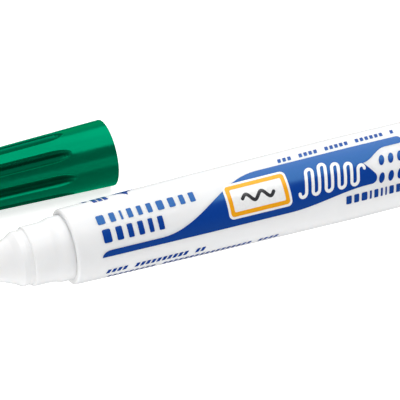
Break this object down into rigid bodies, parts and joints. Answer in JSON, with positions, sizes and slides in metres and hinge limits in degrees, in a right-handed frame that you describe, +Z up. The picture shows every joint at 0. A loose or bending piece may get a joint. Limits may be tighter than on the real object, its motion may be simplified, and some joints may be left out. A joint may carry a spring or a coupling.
{
  "type": "whiteboard marker",
  "caption": "Bullet-tip whiteboard marker lying uncapped, with a white tapered barrel, stepped nose, green end plug, and its long-grooved green cap beside it.",
  "frame": {"origin": "on the table, under the middle of the box around the marker and its cap", "axes": "+X from the nib towards the rear plug, +Y from the marker towards the cap, +Z up"},
  "size_m": [0.1158, 0.0518, 0.0186],
  "materials": {
    "white_plastic": "gloss",
    "green_plastic": "gloss",
    "liner_plastic": "satin",
    "nib_fibre": "matte, soaked with ink",
    "core_fibre": "matte, soaked with ink",
    "clear_film": "gloss"
  },
  "bodies": {
    "marker": {"barrel": "white_plastic", "nose": "white_plastic", "nib": "nib_fibre", "reservoir": "core_fibre", "reservoir_film": "clear_film", "rear_plug": "green_plastic"},
    "cap_set": {"cap": "green_plastic", "cap_liner": "liner_plastic"}
  },
  "joints": [
    {"name": "cap_pull", "type": "slide", "parent": "marker", "child": "cap_set", "axis": [-1, 0, 0], "range_m": [0, 0.05]}
  ]
}
